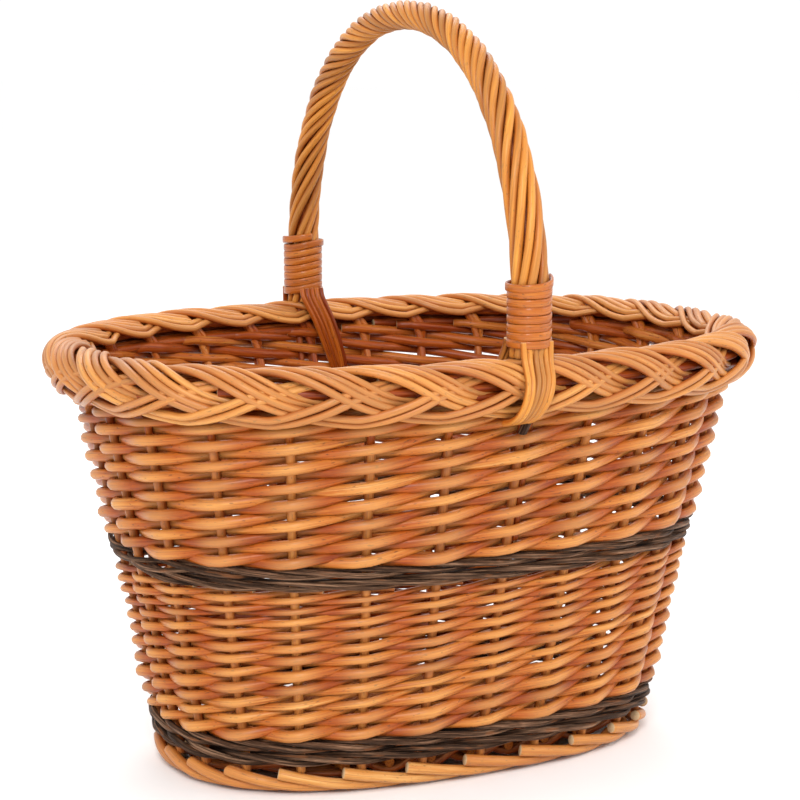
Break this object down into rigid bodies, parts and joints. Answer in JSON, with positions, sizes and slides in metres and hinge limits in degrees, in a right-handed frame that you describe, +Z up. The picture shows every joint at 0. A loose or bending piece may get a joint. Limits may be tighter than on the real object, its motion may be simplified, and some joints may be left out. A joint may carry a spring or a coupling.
{
  "type": "woven market basket",
  "caption": "Oval woven willow market basket with flared sides, dark woven bands, a plaited rim and a fixed roped carrying handle across the middle.",
  "frame": {"origin": "on the floor under the middle of the basket", "axes": "+Z up; +X along the basket's long side; +Y across it, and the handle arches across the basket from -Y to +Y"},
  "size_m": [0.4479, 0.3426, 0.4665],
  "materials": {
    "buff_willow": "glossy buff willow rods, orange-brown, with darker specks and knots",
    "thick_willow": "thick buff willow sticks with pale cut ends",
    "handle_willow": "twisted buff willow rods, polished by handling",
    "willow_skein": "split willow skein, smooth and glossy",
    "unpeeled_willow": "unpeeled willow with dull grey-brown wrinkled bark"
  },
  "bodies": {
    "root": {"base_long_sticks": "thick_willow", "base_cross_sticks": "thick_willow", "foot_border": "thick_willow", "base_weave_over": "buff_willow", "base_weave_under": "buff_willow", "side_stakes": "buff_willow", "lower_weave_1": "buff_willow", "lower_weave_2": "buff_willow", "lower_weave_3": "buff_willow", "lower_weave_4": "buff_willow", "lower_weave_5": "buff_willow", "lower_weave_6": "buff_willow", "lower_weave_7": "buff_willow", "lower_weave_8": "buff_willow", "lower_weave_9": "buff_willow", "lower_weave_10": "buff_willow", "lower_weave_11": "buff_willow", "upper_weave_1": "buff_willow", "upper_weave_2": "buff_willow", "upper_weave_3": "buff_willow", "upper_weave_4": "buff_willow", "upper_weave_5": "buff_willow", "upper_weave_6": "buff_willow", "upper_weave_7": "buff_willow", "upper_weave_8": "buff_willow", "plaited_border": "buff_willow", "handle_bow": "handle_willow", "handle_strands": "handle_willow", "front_outer_tails": "handle_willow", "back_outer_tails": "handle_willow", "front_inner_tails": "handle_willow", "back_inner_tails": "handle_willow", "front_binding": "willow_skein", "back_binding": "willow_skein", "lower_band_strand_1": "unpeeled_willow", "lower_band_strand_2": "unpeeled_willow", "lower_band_strand_3": "unpeeled_willow", "lower_band_strand_4": "unpeeled_willow", "middle_band_strand_1": "unpeeled_willow", "middle_band_strand_2": "unpeeled_willow", "middle_band_strand_3": "unpeeled_willow", "middle_band_strand_4": "unpeeled_willow", "front_handle_peg": "unpeeled_willow", "back_handle_peg": "unpeeled_willow"}
  },
  "joints": []
}
